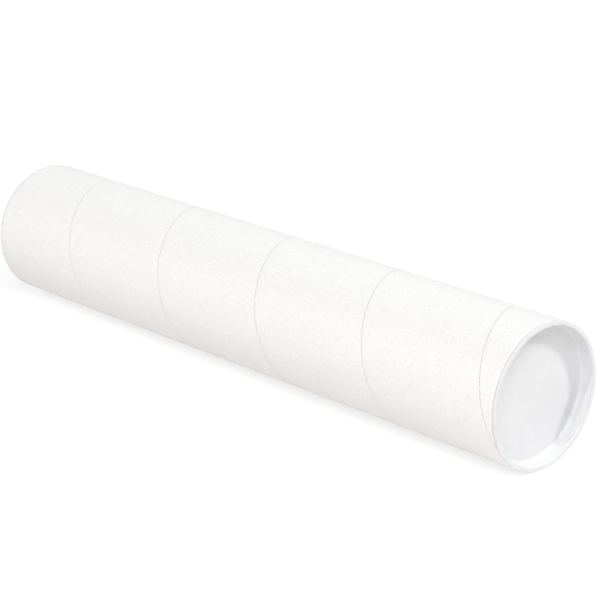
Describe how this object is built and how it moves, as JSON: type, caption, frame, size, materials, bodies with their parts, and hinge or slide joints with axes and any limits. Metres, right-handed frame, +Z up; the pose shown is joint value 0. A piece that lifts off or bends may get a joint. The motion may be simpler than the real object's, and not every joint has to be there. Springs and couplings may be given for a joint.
{
  "type": "drawing tube",
  "caption": "White spiral-wound paperboard tube for rolled drawings or posters, closed at both ends by push-in cup-shaped plastic plugs with thin flanges.",
  "frame": {"origin": "middle of the tube's length, on the surface that it lies on, under its axis", "axes": "+X along the tube towards the near plug, +Z up, +Y away from the side seen first"},
  "size_m": [0.4088, 0.0792, 0.0793],
  "materials": {
    "wrap_paper": "smooth white bleached kraft paper with fine fibre mottling",
    "board": "uncoated pale grey recycled board",
    "liner_paper": "uncoated white liner paper",
    "plug_plastic": "white moulded polyethylene, satin"
  },
  "bodies": {
    "tube": {"outer_wrap": "wrap_paper", "outer_board_ply": "board", "inner_board_ply": "board", "inner_liner": "liner_paper"},
    "near_plug": {"near_plug": "plug_plastic"},
    "far_plug": {"far_plug": "plug_plastic"}
  },
  "joints": [
    {"name": "near_plug_pull", "type": "slide", "parent": "tube", "child": "near_plug", "axis": [1, 0, 0], "range_m": [0, 0.05]},
    {"name": "far_plug_pull", "type": "slide", "parent": "tube", "child": "far_plug", "axis": [-1, 0, 0], "range_m": [0, 0.05]}
  ]
}
